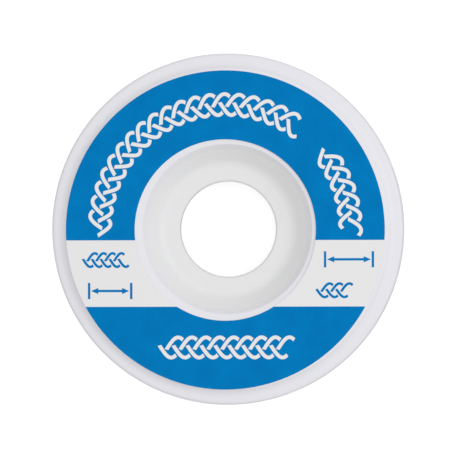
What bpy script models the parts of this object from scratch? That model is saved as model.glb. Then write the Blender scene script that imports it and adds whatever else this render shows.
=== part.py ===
"""Desoldering braid on its small white bobbin, lying on its back face with the label up.

Metres, +Z up. The origin is on the bobbin's axis, at the surface that the bobbin lies on.
"""

import math

import bmesh
import bpy

# Bobbin: two equal moulded halves, back to back
outer_diameter = 0.0500
bobbin_thickness = 0.0086
wall = 0.0010
fit_gap = 0.0003

# Bore and dished hub
bore_diameter = 0.0136
web_width = 0.0026
cone_run = 0.0027

# Rim
rim_width = 0.00217
shoulder_run = 0.0006
shoulder_drop = 0.00068
lip_fall = 0.00015
exit_slot = 0.0030

# Edge roundings
bore_edge_radius = 0.00035
foot_fillet = 0.0018
mouth_edge_radius = 0.00015
plateau_rim_radius = 0.0005
shoulder_fillet = 0.0014
rim_edge_radius = 0.0005
skirt_edge_radius = 0.00025
arc_steps = 3

# Braid: a turn's hollow edge is the groove beside the next turn, and its flat is a share of its width
braid_width = 0.0015
braid_thickness = 0.0005
wound_layers = 4
edge_hollow = 0.00018
edge_flat = 0.5

# Label
label_margin_inside = 0.0008
label_margin_outside = 0.00013
label_thickness = 0.00015
label_offset_x = -0.00028
label_offset_y = -0.00012

# Sides of every turned shape
turn_steps = 48
merge_distance = 0.00001

# Heights above the plane where the halves meet, for one half
mating_height = fit_gap / 2
web_top = mating_height + wall
plateau_top = bobbin_thickness / 2
lip_top = plateau_top - shoulder_drop
chamber_half_width = plateau_top - wall
skirt_end = exit_slot / 2

# Radii
outer_radius = outer_diameter / 2
bore_radius = bore_diameter / 2
foot_radius = bore_radius + web_width
mouth_radius = foot_radius + cone_run
plateau_outer_radius = outer_radius - rim_width
shoulder_foot_radius = plateau_outer_radius + shoulder_run
skirt_inner_radius = outer_radius - wall

# The hub's back face runs parallel to the dish's cone, one wall behind it
cone_slope = math.atan2(plateau_top - web_top, cone_run)


def hub_back_radius(height, clearance=0.0):
    """Radius of the hub's back face at a height above the mating plane, moved out by a clearance."""
    offset = (wall + clearance) / math.sin(cone_slope)
    return foot_radius + offset + (height - web_top) / math.tan(cone_slope)


def rounded(corners):
    """Outline through (radius, height, rounding) corners, with each rounding as an arc."""
    points = []
    count = len(corners)
    for index, (x, z, rounding) in enumerate(corners):
        before_x, before_z, _ = corners[index - 1]
        after_x, after_z, _ = corners[(index + 1) % count]
        if rounding == 0:
            points.append((x, z))
            continue
        into = math.atan2(z - before_z, x - before_x)
        out = math.atan2(after_z - z, after_x - x)
        turn = math.remainder(out - into, math.tau)
        setback = rounding * math.tan(abs(turn) / 2)
        side = math.copysign(1, turn)
        centre_x = x - setback * math.cos(into) - side * rounding * math.sin(into)
        centre_z = z - setback * math.sin(into) + side * rounding * math.cos(into)
        for step in range(arc_steps + 1):
            angle = into - side * math.pi / 2 + turn * step / arc_steps
            points.append((centre_x + rounding * math.cos(angle), centre_z + rounding * math.sin(angle)))
    return points


def half_outline():
    """Section of one half: down over the face and the rim, then back inside to the bore."""
    inner_step_radius = shoulder_foot_radius - wall / 2
    return rounded([
        (bore_radius, web_top, bore_edge_radius),
        (foot_radius, web_top, foot_fillet),
        (mouth_radius, plateau_top, mouth_edge_radius),
        (plateau_outer_radius, plateau_top, plateau_rim_radius),
        (shoulder_foot_radius, lip_top, shoulder_fillet),
        (outer_radius, lip_top - lip_fall, rim_edge_radius),
        (outer_radius, skirt_end, skirt_edge_radius),
        (skirt_inner_radius, skirt_end, skirt_edge_radius),
        (skirt_inner_radius, lip_top - wall, 0),
        (inner_step_radius, lip_top - wall, 0),
        (inner_step_radius - shoulder_run, chamber_half_width, 0),
        (hub_back_radius(chamber_half_width), chamber_half_width, 0),
        (hub_back_radius(mating_height), mating_height, 0),
        (bore_radius, mating_height, 0),
    ])


def roll_outline():
    """Section of the wound braid: the turns side by side on its rim, and layer on layer on its ends."""
    half_width = chamber_half_width - fit_gap
    columns = max(1, round(2 * half_width / braid_width))
    pitch = 2 * half_width / columns
    inner_end_radius = hub_back_radius(half_width, fit_gap)
    roll_radius = inner_end_radius + wound_layers * braid_thickness
    points = []
    for layer in range(wound_layers):
        start = inner_end_radius + layer * braid_thickness
        points.append((start + braid_thickness / 2, half_width))
        if layer < wound_layers - 1:
            points.append((start + braid_thickness, half_width - edge_hollow))
    for column in range(columns):
        top = half_width - column * pitch
        points.append((roll_radius - edge_hollow, top - (edge_hollow if column == 0 else 0)))
        points.append((roll_radius, top - pitch * (1 - edge_flat) / 2))
        points.append((roll_radius, top - pitch * (1 + edge_flat) / 2))
    points.append((roll_radius - edge_hollow, edge_hollow - half_width))
    for layer in reversed(range(wound_layers)):
        start = inner_end_radius + layer * braid_thickness
        points.append((start + braid_thickness / 2, -half_width))
        if layer > 0:
            points.append((start, edge_hollow - half_width))
    points.append((inner_end_radius, -half_width))
    points.append((hub_back_radius(0, fit_gap), 0))
    points.append((inner_end_radius, half_width))
    return points


def material(name, colour, roughness, metallic):
    """A Principled BSDF in one colour."""
    made = bpy.data.materials.new(name)
    made.use_nodes = True
    shader = made.node_tree.nodes["Principled BSDF"]
    shader.inputs["Base Color"].default_value = (*colour, 1)
    shader.inputs["Roughness"].default_value = roughness
    shader.inputs["Metallic"].default_value = metallic
    made.diffuse_color = (*colour, 1)
    return made


def turned_mesh(name, outline):
    """Mesh of a closed section in the XZ plane, to be turned about Z."""
    section = bmesh.new()
    corners = [section.verts.new((x, 0, z)) for x, z in outline]
    for index, corner in enumerate(corners):
        section.edges.new((corners[index - 1], corner))
    mesh = bpy.data.meshes.new(name)
    section.to_mesh(mesh)
    section.free()
    return mesh


def add_turned(name, mesh, collection, carrier):
    """Object that turns the section of a mesh about its own Z axis."""
    piece = bpy.data.objects.new(name, mesh)
    piece.parent = carrier
    collection.objects.link(piece)
    screw = piece.modifiers.new("Turn", "SCREW")
    screw.axis = "Z"
    screw.angle = math.tau
    screw.steps = turn_steps
    screw.render_steps = turn_steps
    screw.use_smooth_shade = True
    screw.use_merge_vertices = True
    screw.merge_threshold = merge_distance
    return piece


def add_halves(collection, carrier):
    """The two equal halves of the bobbin, the back one turned over."""
    mesh = turned_mesh("bobbin_half", half_outline())
    mesh.materials.append(material("white_plastic", (0.86, 0.86, 0.87), roughness=0.45, metallic=0.0))
    add_turned("front_half", mesh, collection, carrier)
    back = add_turned("back_half", mesh, collection, carrier)
    back.rotation_euler.x = math.pi


def add_roll(collection, carrier):
    """The braid, wound between the flanges."""
    mesh = turned_mesh("braid_roll", roll_outline())
    mesh.materials.append(material("copper_braid", (0.72, 0.33, 0.18), roughness=0.4, metallic=1.0))
    add_turned("braid_roll", mesh, collection, carrier)


def add_circle(curve, radius):
    """A closed circle of four Bezier points in the plane of a curve."""
    spline = curve.splines.new("BEZIER")
    spline.bezier_points.add(3)
    spline.use_cyclic_u = True
    handle = radius * 4 / 3 * math.tan(math.pi / 8)
    for index, point in enumerate(spline.bezier_points):
        angle = index * math.pi / 2
        x = radius * math.cos(angle)
        y = radius * math.sin(angle)
        along_x = -handle * math.sin(angle)
        along_y = handle * math.cos(angle)
        point.handle_left_type = "FREE"
        point.handle_right_type = "FREE"
        point.co = (x, y, 0)
        point.handle_left = (x - along_x, y - along_y, 0)
        point.handle_right = (x + along_x, y + along_y, 0)


def add_label(collection, carrier):
    """The ring-shaped sticker on the front plateau, stuck on a little off centre."""
    curve = bpy.data.curves.new("front_label", "CURVE")
    curve.dimensions = "2D"
    curve.fill_mode = "BOTH"
    curve.resolution_u = turn_steps // 4
    curve.extrude = label_thickness / 2
    add_circle(curve, plateau_outer_radius - label_margin_outside)
    add_circle(curve, mouth_radius + label_margin_inside)
    curve.materials.append(material("label_print", (0.0, 0.19, 0.50), roughness=0.5, metallic=0.0))
    label = bpy.data.objects.new("front_label", curve)
    label.parent = carrier
    label.location = (label_offset_x, label_offset_y, plateau_top + fit_gap + label_thickness / 2)
    collection.objects.link(label)


def build():
    for old in list(bpy.data.objects):
        bpy.data.objects.remove(old, do_unlink=True)
    collection = bpy.data.collections.new("desoldering_braid")
    bpy.context.scene.collection.children.link(collection)
    mid_plane = bpy.data.objects.new("mid_plane", None)
    mid_plane.location.z = bobbin_thickness / 2
    collection.objects.link(mid_plane)
    add_halves(collection, mid_plane)
    add_roll(collection, mid_plane)
    add_label(collection, mid_plane)


build()
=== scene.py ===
import math
import random

import bmesh
import bpy
import numpy as np
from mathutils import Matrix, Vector


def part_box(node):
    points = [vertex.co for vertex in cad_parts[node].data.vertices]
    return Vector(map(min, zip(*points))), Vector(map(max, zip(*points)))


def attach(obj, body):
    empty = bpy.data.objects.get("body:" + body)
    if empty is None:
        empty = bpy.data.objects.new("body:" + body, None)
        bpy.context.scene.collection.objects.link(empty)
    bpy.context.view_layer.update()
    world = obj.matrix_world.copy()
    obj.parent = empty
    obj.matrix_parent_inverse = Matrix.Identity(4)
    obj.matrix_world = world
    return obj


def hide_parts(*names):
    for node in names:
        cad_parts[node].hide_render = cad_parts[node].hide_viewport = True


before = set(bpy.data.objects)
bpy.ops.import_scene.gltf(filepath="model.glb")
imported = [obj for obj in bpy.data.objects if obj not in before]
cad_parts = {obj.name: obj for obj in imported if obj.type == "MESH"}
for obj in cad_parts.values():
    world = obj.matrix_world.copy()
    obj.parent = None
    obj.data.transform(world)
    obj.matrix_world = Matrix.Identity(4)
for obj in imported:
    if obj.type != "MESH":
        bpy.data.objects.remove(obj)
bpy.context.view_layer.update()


# Back half of the bobbin. One of two equal white plastic mouldings, thin-walled, with a raised plateau,
# a dished hub round the open bore and a rim turned in. They snap together back to back, and leave a slot
# for the braid.
outer_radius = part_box("front_half")[1][0]
mid_height = (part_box("front_half")[1][2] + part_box("back_half")[0][2]) / 2
plateau_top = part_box("front_half")[1][2] - mid_height
wall = 0.0010
web_top = 0.00115
web_width = 0.0026
cone_run = 0.0027
bend_run = 0.0007
bend_drop = 0.0011
ring_width = 0.0009
ring_drop = 0.0002
rim_width = 0.00217
shoulder_run = 0.0006
shoulder_drop = 0.00068
lip_fall = 0.00015
slot_half = 0.0015
seam_half = 0.00002
bore_edge_radius = 0.00035
foot_fillet = 0.0018
bend_radius = 0.003
mouth_edge_radius = 0.00012
plateau_edge_radius = 0.0005
shoulder_fillet = 0.0014
rim_edge_radius = 0.0005
skirt_edge_radius = 0.00025
chamber_fillet = 0.0003
small_fillet = 0.0001
seam_edge_radius = 0.00008
moulding_sides = 240
merge_distance = 0.000001

bore_radius = 0.0068
foot_radius = bore_radius + web_width
mouth_radius = foot_radius + cone_run
plateau_inner_radius = mouth_radius + ring_width
plateau_outer_radius = outer_radius - rim_width
lip_top = plateau_top - shoulder_drop
chamber_half = plateau_top - wall
cone_slope = math.atan2(plateau_top - web_top, mouth_radius - foot_radius)


def hub_back_radius(height, clearance=0.0):
    """Radius of the hub's back face, one wall behind the dish's cone."""
    offset = (wall + clearance) / math.sin(cone_slope)
    return foot_radius + offset + (height - web_top) / math.tan(cone_slope)


def rounded(corners, steps=7, run_in=0.00005):
    """Closed outline through (radius, height, rounding) corners.

    Each rounding is an arc, and each straight run has a point close to either end, which keeps
    the smooth shading of a flat flat.
    """
    arcs = []
    for index, (x, z, rounding) in enumerate(corners):
        before = corners[index - 1]
        after = corners[(index + 1) % len(corners)]
        into = math.atan2(z - before[1], x - before[0])
        out = math.atan2(after[1] - z, after[0] - x)
        turn = math.remainder(out - into, math.tau)
        side = math.copysign(1, turn)
        setback = rounding * math.tan(abs(turn) / 2)
        centre_x = x - setback * math.cos(into) - side * rounding * math.sin(into)
        centre_z = z - setback * math.sin(into) + side * rounding * math.cos(into)
        angles = [into - side * math.pi / 2 + turn * step / steps for step in range(steps + 1)]
        arcs.append([
            Vector((centre_x + rounding * math.cos(angle), centre_z + rounding * math.sin(angle)))
            for angle in angles
        ])
    points = []
    for index, arc in enumerate(arcs):
        run = arc[0] - arcs[index - 1][-1]
        if run.length > 4 * run_in:
            points.append(arcs[index - 1][-1] + run.normalized() * run_in)
            points.append(arc[0] - run.normalized() * run_in)
        points.extend(arc)
    return [(point.x, point.y) for point in points]


def placed(name, data, location):
    """Object that holds a mesh, a light or a camera, at a place in the scene."""
    piece = bpy.data.objects.new(name, data)
    piece.location = location
    bpy.context.scene.collection.objects.link(piece)
    return piece


def turned(name, outline, sides):
    """Piece turned about the bobbin's axis from a closed outline round its middle."""
    section = bmesh.new()
    corners = [section.verts.new((x, 0, z)) for x, z in outline]
    for index, corner in enumerate(corners):
        section.edges.new((corners[index - 1], corner))
    bmesh.ops.remove_doubles(section, verts=section.verts, dist=merge_distance)
    mesh = bpy.data.meshes.new(name)
    section.to_mesh(mesh)
    section.free()
    piece = placed(name, mesh, (0, 0, mid_height))
    screw = piece.modifiers.new("Turn", "SCREW")
    screw.axis = "Z"
    screw.angle = math.tau
    screw.steps = sides
    screw.render_steps = sides
    screw.use_smooth_shade = True
    screw.use_merge_vertices = True
    screw.merge_threshold = merge_distance
    return piece


def half_outline():
    """Section of a half, above the plane where the halves meet."""
    inner_step_radius = plateau_outer_radius + shoulder_run - wall / 2
    return rounded([
        (bore_radius, web_top, bore_edge_radius),
        (foot_radius, web_top, foot_fillet),
        (mouth_radius - bend_run, plateau_top - bend_drop, bend_radius),
        (mouth_radius, plateau_top - ring_drop, mouth_edge_radius),
        (plateau_inner_radius, plateau_top, plateau_edge_radius),
        (plateau_outer_radius, plateau_top, plateau_edge_radius),
        (plateau_outer_radius + shoulder_run, lip_top, shoulder_fillet),
        (outer_radius, lip_top - lip_fall, rim_edge_radius),
        (outer_radius, slot_half, skirt_edge_radius),
        (outer_radius - wall, slot_half, skirt_edge_radius),
        (outer_radius - wall, lip_top - wall, small_fillet),
        (inner_step_radius, lip_top - wall, small_fillet),
        (inner_step_radius - shoulder_run, chamber_half, chamber_fillet),
        (hub_back_radius(chamber_half), chamber_half, chamber_fillet),
        (hub_back_radius(seam_half), seam_half, small_fillet),
        (bore_radius, seam_half, seam_edge_radius),
    ])


def shader_of(name):
    """New material, its node tree and its Principled shader."""
    made = bpy.data.materials.new(name)
    made.use_nodes = True
    return made, made.node_tree, made.node_tree.nodes["Principled BSDF"]


def put(tree, kind, inputs=None, **settings):
    """Node of a kind, with its settings and input values."""
    node = tree.nodes.new(kind)
    for key, value in settings.items():
        setattr(node, key, value)
    for key, value in (inputs or {}).items():
        node.inputs[key].default_value = value
    return node


def grain(tree, scale, detail=3.0):
    """Noise over the piece's own coordinates, of features about 1/scale metres across."""
    place = put(tree, "ShaderNodeTexCoord")
    noise = put(tree, "ShaderNodeTexNoise", {"Scale": scale, "Detail": detail})
    tree.links.new(place.outputs["Object"], noise.inputs["Vector"])
    return noise.outputs["Fac"]


def from_axis(tree):
    """Distance from the piece's own origin, which on a turned piece is nearly that from its axis."""
    place = put(tree, "ShaderNodeTexCoord")
    distance = put(tree, "ShaderNodeVectorMath", operation="LENGTH")
    tree.links.new(place.outputs["Object"], distance.inputs[0])
    return distance.outputs["Value"]


def graded(tree, value, low, high, start=0.0, end=1.0):
    """Value between start and end turned into the range from low to high."""
    limits = {"From Min": start, "From Max": end, "To Min": low, "To Max": high}
    spread = put(tree, "ShaderNodeMapRange", limits)
    tree.links.new(value, spread.inputs["Value"])
    return spread.outputs["Result"]


def tinted(tree, value, first, second):
    """Colour that goes from first to second, each a colour or a socket, as a value goes from 0 to 1."""
    mix = put(tree, "ShaderNodeMix", data_type="RGBA")
    tree.links.new(value, mix.inputs["Factor"])
    for key, colour in (("A", first), ("B", second)):
        if isinstance(colour, bpy.types.NodeSocket):
            tree.links.new(colour, mix.inputs[key])
        else:
            mix.inputs[key].default_value = (*colour, 1)
    return mix.outputs["Result"]


def raised(tree, value, distance, under=None):
    """Bump of a height in metres, over another bump if one is given."""
    bump = put(tree, "ShaderNodeBump", {"Distance": distance, "Strength": 1.0})
    tree.links.new(value, bump.inputs["Height"])
    if under is not None:
        tree.links.new(under, bump.inputs["Normal"])
    return bump.outputs["Normal"]


def moulded_white():
    """Satin white plastic with the fine spark grain of its mould and faint flow marks.

    It is a neutral white in the dish and a cooler one from the dish's mouth out to the rim.
    """
    made, tree, shader = shader_of("moulded_white")
    flow = grain(tree, scale=160)
    spark = grain(tree, scale=9000, detail=2.0)
    dish_white = tinted(tree, flow, (0.796, 0.797, 0.804), (0.816, 0.816, 0.822))
    rim_white = tinted(tree, flow, (0.798, 0.797, 0.840), (0.818, 0.816, 0.858))
    outwards = graded(tree, from_axis(tree), low=0.0, high=1.0,
                      start=mouth_radius - 0.0002, end=mouth_radius + 0.0006)
    tree.links.new(tinted(tree, outwards, dish_white, rim_white), shader.inputs["Base Color"])
    tree.links.new(graded(tree, spark, low=0.40, high=0.56), shader.inputs["Roughness"])
    waves = raised(tree, flow, distance=0.00001)
    tree.links.new(raised(tree, spark, distance=0.000003, under=waves), shader.inputs["Normal"])
    shader.inputs["Specular IOR Level"].default_value = 0.25
    shader.inputs["Subsurface Weight"].default_value = 0.12
    shader.inputs["Subsurface Radius"].default_value = (0.0008, 0.0007, 0.0006)
    return made


white_plastic = moulded_white()
back_moulding = turned("back_moulding", half_outline(), moulding_sides)
back_moulding.rotation_euler.x = math.pi
back_moulding.data.materials.append(white_plastic)
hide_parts("back_half")
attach(back_moulding, "root")


# Inner layers of the braid. Flat copper braid 1.5 mm wide, wound layer on layer on the hub between the
# flanges. The outer turns hide nearly all of it, so it is one turned core, grooved at each turn.
braid_width = 0.0015
braid_thickness = 0.0005
turns_across = 4
end_gap = 0.0003
layer_gap = 0.0001
groove = 0.00012
crest_steps = 5
core_sides = 180
turn_pitch = 2 * (chamber_half - end_gap) / turns_across
core_half = turns_across * turn_pitch / 2
roll_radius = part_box("braid_roll")[1][0]
core_radius = roll_radius - braid_thickness - layer_gap


def crested(crests):
    """Places along a row of rounded crests, counted in crests, each with its fall from their tops."""
    for crest in range(crests):
        for step in range(1, crest_steps + 1):
            share = step / crest_steps
            yield crest + share, groove * abs(2 * share - 1) ** 3


def core_outline():
    """Section of the core, with a rounded crest for every turn on its rim and both ends."""
    inner_radius = hub_back_radius(core_half, end_gap)
    layers = round((core_radius - inner_radius) / braid_thickness)
    crest_pitch = turn_pitch * (core_half - groove) / core_half
    points = [(inner_radius, core_half)]
    for place, fall in crested(layers):
        points.append((inner_radius + place * braid_thickness, core_half - fall))
    for place, fall in crested(turns_across):
        points.append((core_radius - fall, core_half - groove - place * crest_pitch))
    for place, fall in crested(layers):
        points.append((inner_radius + (layers - place) * braid_thickness, fall - core_half))
    points.append((hub_back_radius(0, end_gap), 0))
    return points


def copper(name, wires):
    """Bright annealed copper under a film of flux. Wires makes the height field of the single wires."""
    made, tree, shader = shader_of(name)
    height = wires(tree)
    shade = tinted(tree, grain(tree, scale=700), (0.97, 0.52, 0.29), (1.0, 0.67, 0.41))
    tree.links.new(shade, shader.inputs["Base Color"])
    tree.links.new(graded(tree, grain(tree, scale=5000), low=0.28, high=0.44), shader.inputs["Roughness"])
    tree.links.new(raised(tree, height, distance=0.00002), shader.inputs["Normal"])
    shader.inputs["Metallic"].default_value = 0.7
    return made


def crossed_wires(tree):
    """Fine slanting relief of a plait, where the wires aren't modelled one by one."""
    place = put(tree, "ShaderNodeTexCoord")
    wave = put(tree, "ShaderNodeTexWave", {"Scale": 900.0, "Distortion": 1.5, "Detail": 2.0},
               wave_type="BANDS", bands_direction="DIAGONAL")
    tree.links.new(place.outputs["Object"], wave.inputs["Vector"])
    return wave.outputs["Fac"]


braid_core = turned("braid_core", core_outline(), core_sides)
braid_core.data.materials.append(copper("copper_core", crossed_wires))
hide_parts("braid_roll")
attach(braid_core, "root")


# Outer turns of the braid. A flat tube of bare copper wires, plaited from bundles that pass over two and
# under two. Each turn lies beside the last and then steps across, which bares a short stretch of the
# layer below at either flange. The cut end is tucked in on the last turn.
bundles_each_way = 8
wires_in_bundle = 4
bundle_width = 0.00031
bundle_thickness = 0.00009
ripple = 0.000045
fray = 0.0003
wanted_slope = 0.85
sample_length = 0.00019
step_start = math.radians(325)
step_end = math.radians(355)
end_short = math.radians(4)
bared_reach = math.radians(15)
turn_radius = roll_radius - braid_thickness / 2
turn_length = math.tau * turn_radius
tube_half_thickness = braid_thickness / 2 - bundle_thickness / 2 - ripple
tube_half_flat = (braid_width - braid_thickness) / 2
tube_girth = 4 * tube_half_flat + math.tau * tube_half_thickness
bundle_spacing = tube_girth / bundles_each_way
repeats_per_turn = round(wanted_slope * turn_length / (2 * bundle_spacing))
plait_slope = repeats_per_turn * 2 * bundle_spacing / turn_length


def tube_point(girth):
    """Place across and out of the flat tube, and the outward direction, at a distance round it."""
    girth = girth % tube_girth
    flat = 2 * tube_half_flat
    bend = math.pi * tube_half_thickness
    angle_right = np.clip((girth - flat) / tube_half_thickness, 0, math.pi)
    angle_left = np.clip((girth - 2 * flat - bend) / tube_half_thickness, 0, math.pi)
    angle = angle_right + angle_left
    front = np.clip(girth, 0, flat)
    back = np.clip(girth - flat - bend, 0, flat)
    across = -tube_half_flat + front - back + tube_half_thickness * np.sin(angle)
    out = tube_half_thickness * np.cos(angle)
    return across, out, np.sin(angle), np.cos(angle)


def step_across(angle):
    """Share of a turn's pitch by which the braid has stepped across at an angle."""
    share = np.clip((angle - step_start) / (step_end - step_start), 0, 1)
    return share * share * (3 - 2 * share)


def bundle_sweep(place, hand, index, start, end, middle_radius, steps):
    """Centre line, outward and sideways directions of one bundle along a turn."""
    count = int((end - start) / sample_length)
    along = np.linspace(start, end, count)
    girth = index * bundle_spacing + hand * plait_slope * along
    height = hand * ripple * np.sin(math.pi * girth / bundle_spacing + math.pi / 4)
    across, out, out_across, out_up = tube_point(girth)
    across = across + height * out_across
    out = out + height * out_up
    angle = along / middle_radius
    centre = core_half - (place + 0.5 + steps * step_across(angle)) * turn_pitch
    radius = middle_radius + out
    line = np.stack([radius * np.cos(angle), radius * np.sin(angle), centre + across], axis=1)
    outward = np.stack([out_up * np.cos(angle), out_up * np.sin(angle), out_across], axis=1)
    forward = np.gradient(line, axis=0)
    forward /= np.linalg.norm(forward, axis=1, keepdims=True)
    sideways = np.cross(forward, outward)
    sideways /= np.linalg.norm(sideways, axis=1, keepdims=True)
    return line, outward, sideways


def plaited_turn(name, place, start_angle, end_angle, middle_radius, steps):
    """Turn of braid, with its bundles as closed flattened strands."""
    cuts = random.Random(7 + place)
    ring = [(-0.5, 0.0), (0.0, 0.5), (0.5, 0.0), (0.0, -0.5)]
    start = start_angle * middle_radius
    first = 0
    points, faces, spreads = [], [], []
    for hand in (1, -1):
        for index in range(bundles_each_way):
            cut = cuts.uniform(-fray, fray) if end_angle < math.tau else 0.0
            end = end_angle * middle_radius + cut
            line, outward, sideways = bundle_sweep(place, hand, index, start, end, middle_radius, steps)
            corners = [line + sideways * x * bundle_width + outward * y * bundle_thickness
                       for x, y in ring]
            points.append(np.stack(corners, axis=1).reshape(-1, 3))
            rows = len(line)
            spreads.append(np.tile([x + 0.5 for x, y in ring], rows))
            base = first + 4 * np.arange(rows - 1)[:, None]
            for side in range(4):
                after = (side + 1) % 4
                quads = [base + side, base + 4 + side, base + 4 + after, base + after]
                faces.append(np.concatenate(quads, axis=1))
            faces.append(np.array([[first, first + 1, first + 2, first + 3]]))
            last = first + 4 * (rows - 1)
            faces.append(np.array([[last + 3, last + 2, last + 1, last]]))
            first += 4 * rows
    mesh = bpy.data.meshes.new(name)
    mesh.from_pydata(np.concatenate(points).tolist(), [], np.concatenate(faces).tolist())
    spread = mesh.attributes.new("across_bundle", "FLOAT", "POINT")
    spread.data.foreach_set("value", np.concatenate(spreads).astype(np.float32))
    mesh.shade_smooth()
    mesh.materials.append(copper_bundles)
    turn = placed(name, mesh, (0, 0, mid_height))
    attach(turn, "root")


def bundled_wires(tree):
    """Round wires side by side in each bundle."""
    across = put(tree, "ShaderNodeAttribute", attribute_name="across_bundle")
    turns = put(tree, "ShaderNodeMath", {1: wires_in_bundle * math.tau}, operation="MULTIPLY")
    crest = put(tree, "ShaderNodeMath", operation="SINE")
    tree.links.new(across.outputs["Fac"], turns.inputs[0])
    tree.links.new(turns.outputs[0], crest.inputs[0])
    return graded(tree, crest.outputs[0], low=0.0, high=1.0)


copper_bundles = copper("copper_bundles", bundled_wires)
last_place = turns_across - 1
for place in range(last_place):
    plaited_turn(f"braid_turn_{place + 1}", place, 0.0, math.tau, turn_radius, steps=True)
plaited_turn(f"braid_turn_{turns_across}", last_place, 0.0, step_start - end_short, turn_radius,
             steps=False)
for place in (0, last_place):
    plaited_turn(f"braid_under_{place + 1}", place, step_start - bared_reach, step_end + bared_reach,
                 turn_radius - braid_thickness, steps=False)


# Front half of the bobbin. The same moulding as the back half, the other way up. It is pressed on over
# the wound braid, and its plateau takes the label.
front_moulding = turned("front_moulding", half_outline(), moulding_sides)
front_moulding.data.materials.append(white_plastic)
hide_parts("front_half")
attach(front_moulding, "root")


# Label. A die-cut ring of coated white paper, printed blue above and below a bare white band, and stuck
# on the front plateau by hand, a little off centre and not quite level.
label_low, label_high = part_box("front_label")
label_x = (label_low[0] + label_high[0]) / 2
label_y = (label_low[1] + label_high[1]) / 2
label_turn = math.radians(0.11)
label_outer_radius = (label_high[0] - label_low[0]) / 2
hole_margin = 0.0001
label_hole_radius = plateau_inner_radius - hole_margin
label_sides = 288
paper_thickness = 0.00012
paper_edge = 0.00002
paper_bottom = mid_height + plateau_top
paper_top = paper_bottom + paper_thickness
band_top = -0.00145
band_bottom = -0.0109


def label_ring():
    """Paper ring, cut along the band's two edges so that each face has one colour."""
    section = [
        (label_hole_radius, paper_bottom),
        (label_hole_radius, paper_top - paper_edge),
        (label_hole_radius + paper_edge, paper_top),
        (label_outer_radius - paper_edge, paper_top),
        (label_outer_radius, paper_top - paper_edge),
        (label_outer_radius, paper_bottom),
    ]
    ring = bmesh.new()
    rows = []
    for side in range(label_sides):
        angle = math.tau * side / label_sides
        rows.append([ring.verts.new((r * math.cos(angle), r * math.sin(angle), z)) for r, z in section])
    for side in range(label_sides):
        here, there = rows[side], rows[(side + 1) % label_sides]
        for index in range(len(section)):
            after = (index + 1) % len(section)
            ring.faces.new((here[index], there[index], there[after], here[after]))
    bmesh.ops.recalc_face_normals(ring, faces=ring.faces)
    for height in (band_top, band_bottom):
        geometry = ring.verts[:] + ring.edges[:] + ring.faces[:]
        bmesh.ops.bisect_plane(ring, geom=geometry, plane_co=(0, height, 0), plane_no=(0, 1, 0), dist=1e-7)
    for face in ring.faces:
        middle = face.calc_center_median()
        printed = face.normal.z > 0.5 and not band_bottom < middle.y < band_top
        face.material_index = 1 if printed else 0
    mesh = bpy.data.meshes.new("label_paper")
    ring.to_mesh(mesh)
    ring.free()
    return mesh


def coated_paper():
    """Bright coated label stock with a faint fibre under the coating."""
    made, tree, shader = shader_of("coated_paper")
    fibre = grain(tree, scale=2600, detail=5.0)
    colour = tinted(tree, fibre, (0.81, 0.803, 0.805), (0.84, 0.833, 0.835))
    tree.links.new(colour, shader.inputs["Base Color"])
    tree.links.new(graded(tree, fibre, low=0.45, high=0.6), shader.inputs["Roughness"])
    tree.links.new(raised(tree, fibre, distance=0.000004), shader.inputs["Normal"])
    shader.inputs["Specular IOR Level"].default_value = 0.2
    return made


def blue_ink():
    """Solid process blue with the soft blotches of an offset print."""
    made, tree, shader = shader_of("blue_ink")
    mottle = grain(tree, scale=380, detail=6.0)
    colour = tinted(tree, mottle, (0.0, 0.158, 0.437), (0.0, 0.229, 0.580))
    tree.links.new(colour, shader.inputs["Base Color"])
    tree.links.new(graded(tree, mottle, low=0.42, high=0.58), shader.inputs["Roughness"])
    tree.links.new(raised(tree, mottle, distance=0.000003), shader.inputs["Normal"])
    shader.inputs["Specular IOR Level"].default_value = 0.02
    return made


def on_label(name, mesh):
    """Object of a mesh that is drawn about the label's centre."""
    piece = placed(name, mesh, (label_x, label_y, 0))
    piece.rotation_euler.z = label_turn
    return piece


paper = coated_paper()
ink = blue_ink()
label_paper = on_label("label_paper", label_ring())
label_paper.data.materials.append(paper)
label_paper.data.materials.append(ink)
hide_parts("front_label")
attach(label_paper, "root")


# Ornament and marks of the label. A generic print: a three-strand plait bent along the top and a
# straight one at the foot, both left white in the blue, and small blue dimension arrows and plaits on
# the white band.
print_thickness = 0.000008
print_step = 0.00012
strand_width = 0.00052
strand_gap = 0.00022
arch_radius = 0.01785
arch_height = 0.0035
foot_height = 0.0034
mark_height = 0.0023
mark_width = 0.00036
mark_gap = 0.00016
arrow_width = 0.00034


def printed_strip(shape, place, left, right, line_width):
    """Flat strip along a centre line, with its left and right edges each from one length to another."""
    count = max(2, int(abs(left[1] - left[0]) / print_step))
    rows = []
    for step in range(count + 1):
        share = step / count
        row = []
        for (start, end), side in ((left, 1), (right, -1)):
            length = start + (end - start) * share
            centre = Vector(place(length))
            forward = (Vector(place(length + 0.00001)) - Vector(place(length - 0.00001))).normalized()
            edge = centre + side * line_width / 2 * Vector((-forward.y, forward.x))
            for height in (paper_top, paper_top + print_thickness):
                row.append(shape.verts.new((edge.x, edge.y, height)))
        rows.append(row)
    for here, there in zip(rows, rows[1:]):
        for a, b in ((0, 1), (1, 3), (3, 2), (2, 0)):
            shape.faces.new((here[a], here[b], there[b], there[a]))
    shape.faces.new((rows[0][0], rows[0][2], rows[0][3], rows[0][1]))
    shape.faces.new((rows[-1][0], rows[-1][1], rows[-1][3], rows[-1][2]))


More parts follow.
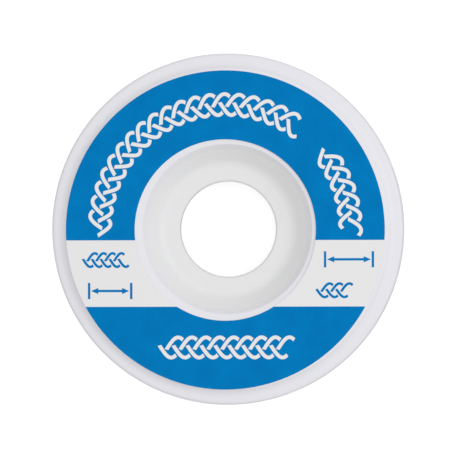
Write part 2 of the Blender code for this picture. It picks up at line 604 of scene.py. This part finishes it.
def plait(shape, place, length, waves, height, line_width, gap):
    """Three strands that pass over and under each other.

    place(along, across) gives a point of the label. A strand is left out where it passes under.
    """
    reach = (height - line_width) / 2
    wave = length / waves
    slope = math.atan(reach * math.tau / wave * math.cos(math.pi / 6))
    crossing = 2 * slope
    near = (line_width / 2 + gap - line_width / 2 * math.cos(crossing)) / math.sin(crossing)
    far = (line_width / 2 + gap + line_width / 2 * math.cos(crossing)) / math.sin(crossing)
    near, far = (value * math.cos(slope) for value in (near, far))
    for strand in range(3):
        shift = strand * math.tau / 3

        def along(s, shift=shift):
            return place(s, reach * math.sin(math.tau * s / wave + shift))

        for run in range(-4, 2 * math.ceil(waves) + 4):
            begin = wave * (math.pi * (5 / 6 + run) - shift) / math.tau
            end = begin + wave / 2
            rising = run % 2 == 1
            trims = ((far, near), (near, far)) if rising else ((near, far), (far, near))
            edges = [(begin + trim_begin, end - trim_end) for trim_begin, trim_end in trims]
            if begin >= 0 and end <= length:
                printed_strip(shape, along, edges[0], edges[1], line_width)


def arched(start_angle, radius):
    """Places along an arc of the label, clockwise from an angle."""
    def place(along, across):
        angle = start_angle - along / radius
        return ((radius + across) * math.cos(angle), (radius + across) * math.sin(angle))
    return place


def straight(x, y):
    """Places along a level line of the label from a point."""
    return lambda along, across: (x + along, y + across)


def double_arrow(shape, x, y, length, height, line_width):
    """Dimension arrow between two end lines."""
    line = straight(x, y)
    head = height * 0.45
    head_half = head * 0.42
    inset = line_width * 0.8
    shaft = (inset + head, length - inset - head)
    upright = (-height / 2, height / 2)
    printed_strip(shape, lambda t: line(t, 0), shaft, shaft, line_width)
    for end in (0, length):
        printed_strip(shape, lambda t, e=end: line(e, t), upright, upright, line_width)
    for tip, way in ((inset, 1), (length - inset, -1)):
        corners = [line(tip, 0), line(tip + way * head, head_half), line(tip + way * head, -head_half)]
        lower = [shape.verts.new((*corner, paper_top)) for corner in corners]
        upper = [shape.verts.new((*corner, paper_top + print_thickness)) for corner in corners]
        shape.faces.new(lower)
        shape.faces.new(upper)
        for index in range(3):
            after = (index + 1) % 3
            shape.faces.new((lower[index], lower[after], upper[after], upper[index]))


def printed_piece(name, shape, finish):
    """Piece of the print, which lies on the label's paper."""
    bmesh.ops.recalc_face_normals(shape, faces=shape.faces)
    mesh = bpy.data.meshes.new(name)
    shape.to_mesh(mesh)
    shape.free()
    mesh.materials.append(finish)
    piece = on_label(name, mesh)
    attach(piece, "root")


white_print = bmesh.new()
for start, end, waves in ((185, 50, 7), (42, -5, 2.5)):
    arch_length = math.radians(start - end) * arch_radius
    plait(white_print, arched(math.radians(start), arch_radius), arch_length, waves, arch_height,
          strand_width, strand_gap)
plait(white_print, straight(-0.0102, -0.0167), 0.0208, 3.5, foot_height, strand_width, strand_gap)
printed_piece("label_plaits", white_print, paper)

blue_print = bmesh.new()
for x, y, length, waves in ((-0.0208, -0.00425, 0.0076, 2), (0.0124, -0.0086, 0.0063, 1.5)):
    plait(blue_print, straight(x, y), length, waves, mark_height, mark_width, mark_gap)
for x, y, length in ((-0.0194, -0.00865, 0.0060), (0.0142, -0.0042, 0.0068)):
    double_arrow(blue_print, x, y, length, mark_height, arrow_width)
printed_piece("label_arrows", blue_print, ink)


# Floor, light and camera. The bobbin lies on a white lit table, under a large soft light overhead and a
# weaker one from the right. The camera looks down on it from far off, a little from the right.
floor_half = 1.5
floor_drop = 0.00005
frame_pixels = 458
pixels_per_metre = 7032
camera_distance = 1.5
camera_lean = math.radians(2.6)
aim = Vector((0.00026, 0.00002, paper_top))


def lit_table():
    """Evenly lit white acrylic."""
    made, tree, shader = shader_of("lit_table")
    tint = tinted(tree, grain(tree, scale=40), (0.49, 0.49, 0.49), (0.51, 0.51, 0.51))
    tree.links.new(tint, shader.inputs["Base Color"])
    shader.inputs["Roughness"].default_value = 0.7
    shader.inputs["Specular IOR Level"].default_value = 0.2
    shader.inputs["Emission Color"].default_value = (1, 1, 1, 1)
    shader.inputs["Emission Strength"].default_value = 0.72
    return made


def soft_light(name, place, size, power):
    """Round soft light that faces the bobbin."""
    data = bpy.data.lights.new(name, "AREA")
    data.shape = "DISK"
    data.size = size
    data.energy = power
    light = placed(name, data, place)
    light.rotation_euler = (-light.location).to_track_quat("-Z", "Y").to_euler()


floor_shape = bmesh.new()
bmesh.ops.create_grid(floor_shape, x_segments=1, y_segments=1, size=floor_half)
floor_mesh = bpy.data.meshes.new("floor")
floor_shape.to_mesh(floor_mesh)
floor_shape.free()
floor_mesh.materials.append(lit_table())
floor = placed("floor", floor_mesh, (0, 0, -floor_drop))
floor_glow = bpy.data.collections.new("floor_glow")
floor_glow.objects.link(floor)
floor.light_linking.receiver_collection = floor_glow

surround = bpy.data.worlds.new("surround")
surround.use_nodes = True
background = surround.node_tree.nodes["Background"]
background.inputs["Color"].default_value = (1, 1, 1, 1)
background.inputs["Strength"].default_value = 0.65
bpy.context.scene.world = surround

soft_light("overhead", (0, 0, 1.8), size=1.6, power=5.6)
soft_light("side", (0.437, 0.142, 0.46), size=0.45, power=1.0)

camera_data = bpy.data.cameras.new("camera")
camera_data.sensor_width = 36
camera_data.lens = camera_data.sensor_width * camera_distance * pixels_per_metre / frame_pixels
camera_side = Vector((math.sin(camera_lean), 0, math.cos(camera_lean)))
camera = placed("camera", camera_data, aim + camera_distance * camera_side)
camera.rotation_euler = (0, camera_lean, 0)
bpy.context.scene.camera = camera
bpy.context.scene.view_settings.view_transform = "Standard"
